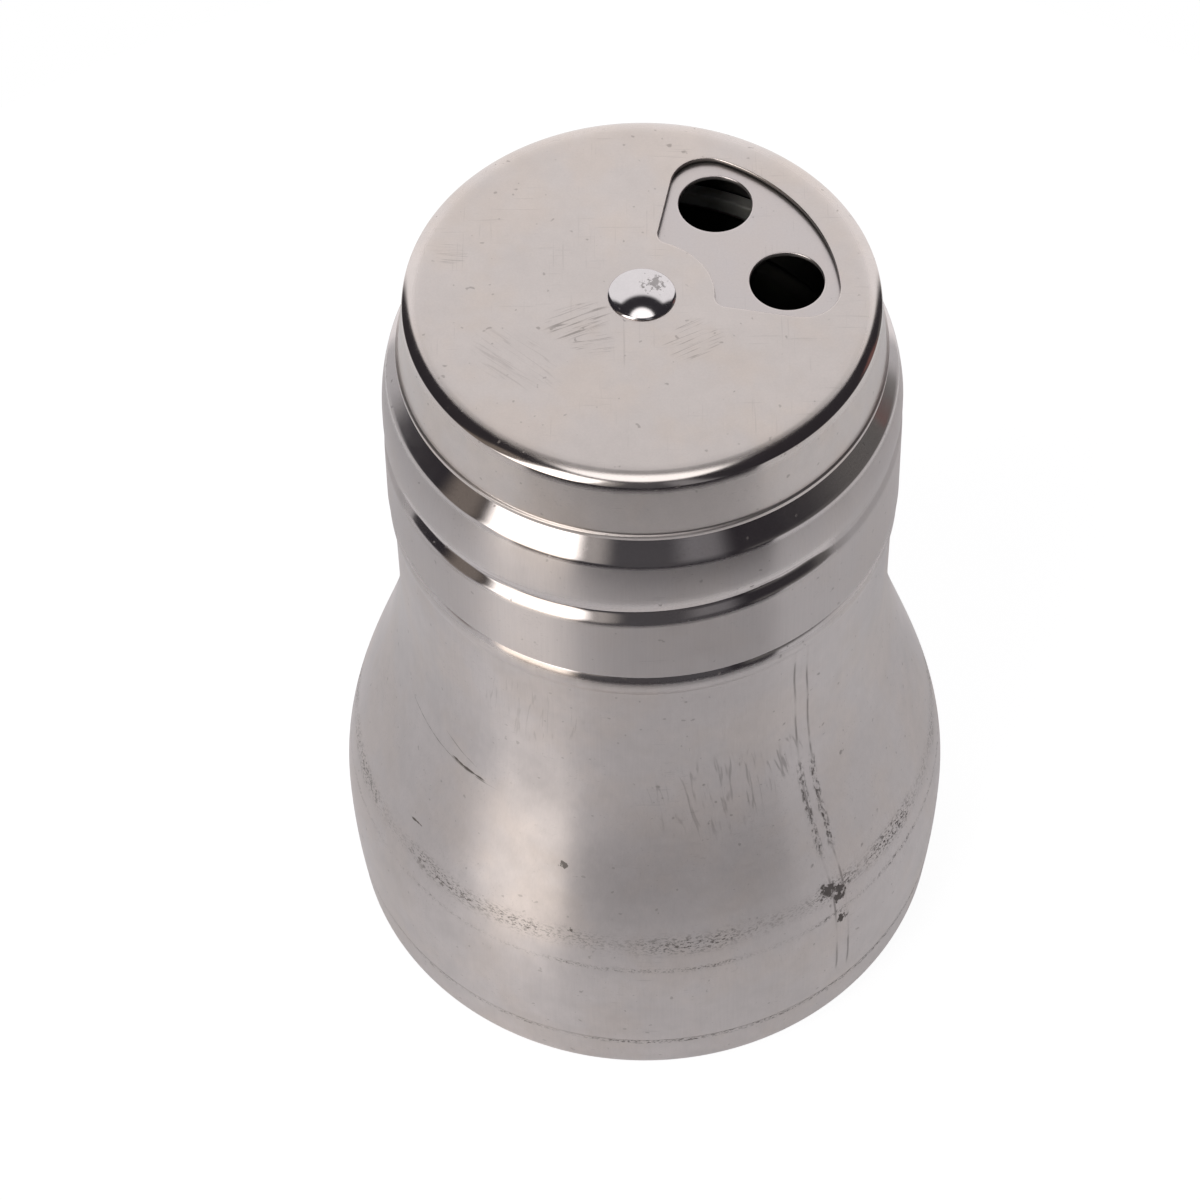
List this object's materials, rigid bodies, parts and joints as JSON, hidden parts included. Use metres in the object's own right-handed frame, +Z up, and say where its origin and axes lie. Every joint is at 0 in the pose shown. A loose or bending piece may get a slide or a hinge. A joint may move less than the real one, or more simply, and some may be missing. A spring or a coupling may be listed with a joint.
{
  "type": "spice shaker",
  "caption": "Pear-shaped pressed steel shaker with a screw cap, a perforated sieve plate and a turning dial cover with a fan-shaped window.",
  "frame": {"origin": "centre of the circle that the bottle stands on, at table height", "axes": "+Z up along the axis of the bottle; -Y is the side that the picture looks at; +X is to the right in it"},
  "size_m": [0.0654, 0.0654, 0.0928],
  "materials": {
    "brushed_shell": "satin, lightly brushed",
    "brushed_pan": "satin, lightly brushed",
    "seal_rubber": "matte",
    "satin_cap": "satin with bright pressed bends",
    "satin_dial": "satin",
    "polished_rivet": "polished",
    "plain_washer": "plain"
  },
  "bodies": {
    "bottle": {"body_shell": "brushed_shell", "base_pan": "brushed_pan"},
    "seal": {"lid_gasket": "seal_rubber"},
    "cap": {"sieve_cap": "satin_cap", "rivet": "polished_rivet", "spring_washer": "plain_washer", "rivet_washer": "plain_washer"},
    "dial": {"dial_cover": "satin_dial"}
  },
  "joints": [
    {"name": "cap_rise", "type": "slide", "parent": "bottle", "child": "seal", "axis": [0, 0, 1], "range_m": [0, 0.0196]},
    {"name": "cap_turn", "type": "hinge", "parent": "seal", "child": "cap", "pos_m": [0, 0, 0.0749], "axis": [0, 0, 1], "range_deg": [0, 1080]},
    {"name": "dial_turn", "type": "hinge", "parent": "cap", "child": "dial", "pos_m": [0, 0, 0.0918], "axis": [0, 0, 1], "continuous": true}
  ],
  "couplings": [
    {"joint": "cap_rise", "follows": "cap_turn", "m_per_rad": 0.0010345}
  ]
}
